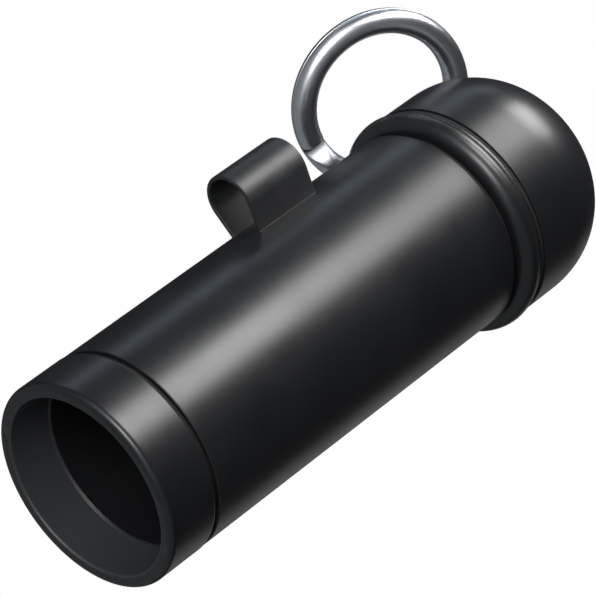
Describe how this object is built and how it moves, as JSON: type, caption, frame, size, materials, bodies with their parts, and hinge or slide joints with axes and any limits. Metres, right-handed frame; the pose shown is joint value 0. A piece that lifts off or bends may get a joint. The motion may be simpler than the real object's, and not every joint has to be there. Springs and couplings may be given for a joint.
{
  "type": "tubular stopped vessel flute",
  "caption": "Pocket vessel flute: open-mouthed black tube with a side loop, a sliding tuning plug inside, and a push-on domed cap that carries a split ring on an eye.",
  "frame": {"origin": "centre of the mouth rim plane", "axes": "+Z along the barrel from the mouth to the dome, +X through the middle of the side loop"},
  "size_m": [0.0365, 0.0326, 0.0767],
  "materials": {
    "body_black": "satin",
    "seal_rubber": "matte",
    "loop_black": "satin",
    "ring_steel": "polished",
    "hardware_steel": "satin",
    "plug_brass": "satin"
  },
  "bodies": {
    "flute": {"mouth_collar": "body_black", "collar_gasket": "seal_rubber", "barrel": "body_black", "side_loop": "loop_black", "neck_sleeve": "body_black", "neck_o_ring_lower": "seal_rubber", "neck_o_ring_upper": "seal_rubber", "cap_gasket": "seal_rubber"},
    "plug": {"tuning_plug": "plug_brass", "plug_o_ring": "seal_rubber", "plug_stem": "hardware_steel", "plug_washer": "hardware_steel", "plug_nut": "hardware_steel", "plug_knob": "plug_brass"},
    "cap": {"end_cap": "body_black", "cap_bead": "body_black", "bead_gasket": "seal_rubber", "lanyard_eye": "hardware_steel", "eye_washer": "hardware_steel", "eye_nut": "hardware_steel"},
    "ring": {"split_ring": "ring_steel"}
  },
  "joints": [
    {"name": "cap_pull", "type": "slide", "parent": "flute", "child": "cap", "axis": [0, 0, 1], "range_m": [0, 0.02]},
    {"name": "plug_slide", "type": "slide", "parent": "flute", "child": "plug", "axis": [0, 0, 1], "range_m": [-0.0175, 0.005]},
    {"name": "ring_swing", "type": "hinge", "parent": "cap", "child": "ring", "pos_m": [0.00545, -0.01584, 0.0636], "axis": [0.4234, 0.1458, -0.8942], "range_deg": [0, 165]}
  ]
}
